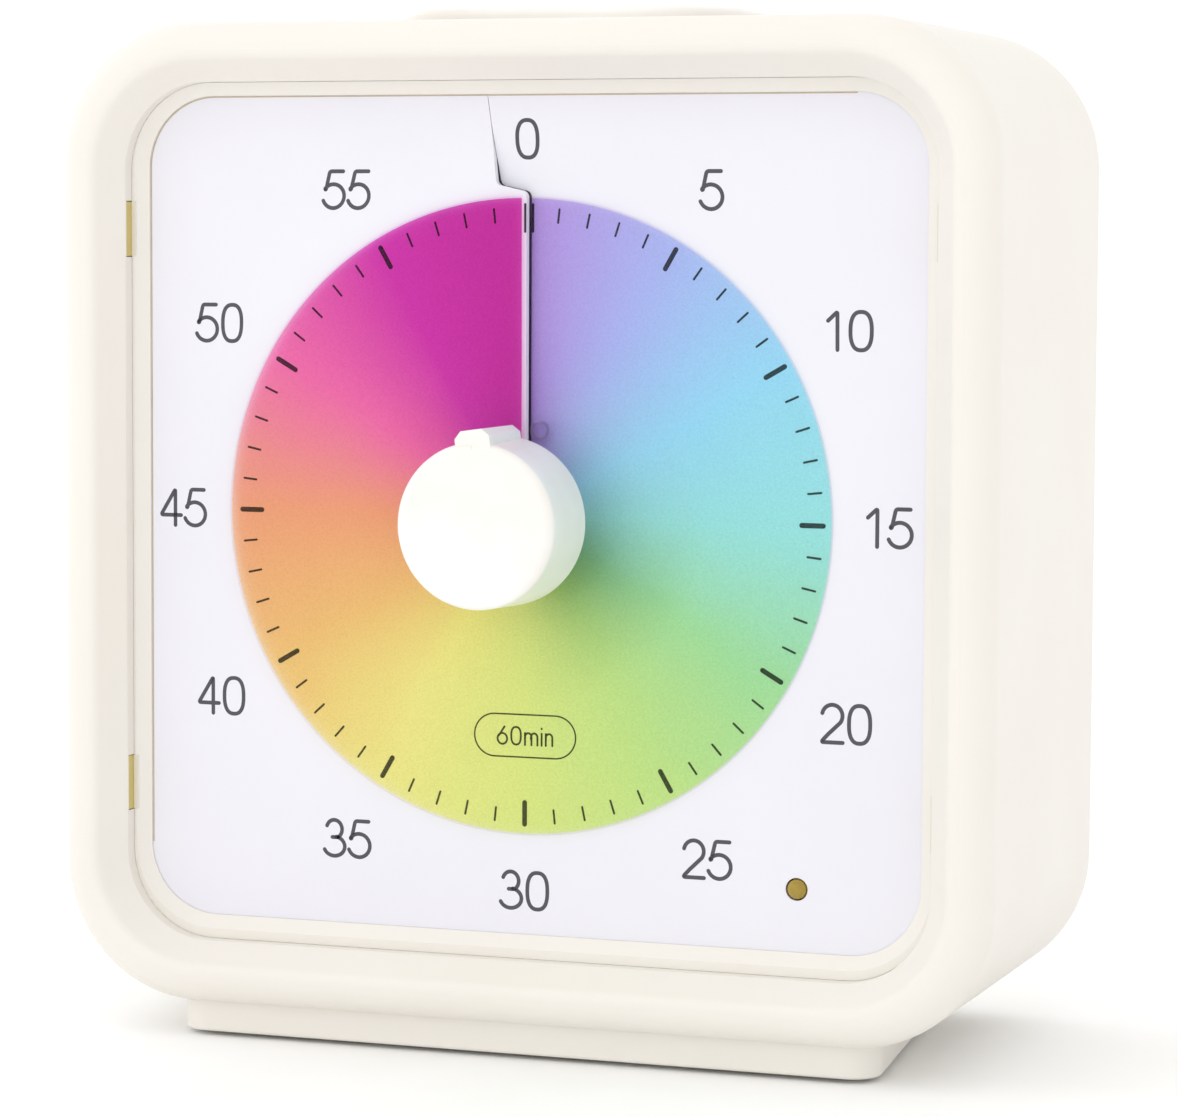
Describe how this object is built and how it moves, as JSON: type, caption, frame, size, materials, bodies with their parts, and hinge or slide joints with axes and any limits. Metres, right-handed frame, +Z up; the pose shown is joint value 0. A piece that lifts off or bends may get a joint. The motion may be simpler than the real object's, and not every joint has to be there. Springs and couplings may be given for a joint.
{
  "type": "visual countdown timer",
  "caption": "Free-standing square countdown timer: a setting knob screws a coloured film disc through a slit in a printed dial; push button on top, battery door behind.",
  "frame": {"origin": "under the middle of the whole object, on the surface that its rubber feet rest on", "axes": "+X to the right of a person who reads the dial, +Y from the dial towards the back, +Z up"},
  "size_m": [0.165, 0.09, 0.1763],
  "materials": {
    "case_plastic": "fine matte",
    "dial_sheet": "printed, satin",
    "film": "coloured print under gloss",
    "rubber": "matte",
    "steel": "zinc plated",
    "spring_steel": "nickel plated",
    "inner_plastic": "moulded",
    "acetal": "natural acetal",
    "yoke_steel": "laminated",
    "winding": "enamelled copper wire",
    "board": "solder mask",
    "led_lens": "diffused yellow",
    "black_plastic": "moulded",
    "brass": "turned",
    "cell_wrap": "shrink sleeve",
    "magnet": "sintered"
  },
  "bodies": {
    "case": {"case_shell": "case_plastic", "dial_frame": "case_plastic", "back_cover": "case_plastic", "plinth": "case_plastic", "rubber_feet": "rubber", "plinth_screws": "steel", "cover_screws": "steel", "dial_plate": "dial_sheet", "carrier": "inner_plastic", "carrier_screws": "steel", "spindle_bush": "brass", "movement_plate": "inner_plastic", "movement_cup": "inner_plastic", "movement_screws": "steel", "stator": "yoke_steel", "coil": "winding", "trip_switch": "black_plastic", "circuit_board": "board", "board_screws": "steel", "indicator_led": "led_lens", "control_chip": "black_plastic", "buzzer": "black_plastic", "button_spring_left": "spring_steel", "button_spring_right": "spring_steel", "button_shelf": "inner_plastic", "tact_switch": "black_plastic", "cell_upper": "cell_wrap", "cell_lower": "cell_wrap", "button_contact_upper": "spring_steel", "spring_contact_upper": "spring_steel", "button_contact_lower": "spring_steel", "spring_contact_lower": "spring_steel", "slide_switch": "black_plastic"},
    "knob": {"setting_knob": "case_plastic", "spindle": "steel", "clutch_spring": "spring_steel", "trip_cam": "acetal"},
    "film": {"film_disc": "film", "film_hub": "inner_plastic"},
    "centre_wheel": {"centre_wheel": "acetal"},
    "third_wheel": {"third_wheel": "acetal"},
    "fourth_wheel": {"fourth_wheel": "acetal"},
    "rotor": {"rotor": "magnet"},
    "top_button": {"top_button": "case_plastic"},
    "battery_door": {"battery_door": "case_plastic"},
    "volume_slider": {"volume_slider": "case_plastic"}
  },
  "joints": [
    {"name": "knob_turn", "type": "hinge", "parent": "case", "child": "knob", "pos_m": [0, -0.0207, 0.091], "axis": [0, -1, 0], "range_deg": [0, 360]},
    {"name": "film_lead", "type": "slide", "parent": "knob", "child": "film", "axis": [0, 1, 0], "range_m": [0, 0.00262]},
    {"name": "rotor_spin", "type": "hinge", "parent": "case", "child": "rotor", "pos_m": [0.01612, -0.002, 0.07827], "axis": [0, -1, 0], "continuous": true},
    {"name": "fourth_spin", "type": "hinge", "parent": "case", "child": "fourth_wheel", "pos_m": [0.00328, -0.005, 0.07229], "axis": [0, -1, 0], "continuous": true},
    {"name": "third_spin", "type": "hinge", "parent": "case", "child": "third_wheel", "pos_m": [-0.01284, -0.008, 0.07816], "axis": [0, -1, 0], "continuous": true},
    {"name": "centre_spin", "type": "hinge", "parent": "case", "child": "centre_wheel", "pos_m": [0, -0.011, 0.091], "axis": [0, -1, 0], "continuous": true},
    {"name": "button_press", "type": "slide", "parent": "case", "child": "top_button", "axis": [0, 0, -1], "range_m": [0, 0.0015], "stiffness_N_per_m": 400, "springref_m": -0.002, "deforming": ["button_spring_left", "button_spring_right"]},
    {"name": "door_hinge", "type": "hinge", "parent": "case", "child": "battery_door", "pos_m": [0, 0.0441, 0.0201], "axis": [-1, 0, 0], "range_deg": [0, 90]},
    {"name": "volume_slide", "type": "slide", "parent": "case", "child": "volume_slider", "axis": [1, 0, 0], "range_m": [-0.004, 0.004]}
  ],
  "couplings": [
    {"joint": "film_lead", "follows": "knob_turn", "m_per_rad": 0.0004138},
    {"joint": "fourth_spin", "follows": "rotor_spin", "ratio": -0.16667},
    {"joint": "third_spin", "follows": "rotor_spin", "ratio": 0.022222},
    {"joint": "centre_spin", "follows": "rotor_spin", "ratio": -0.0027778}
  ]
}
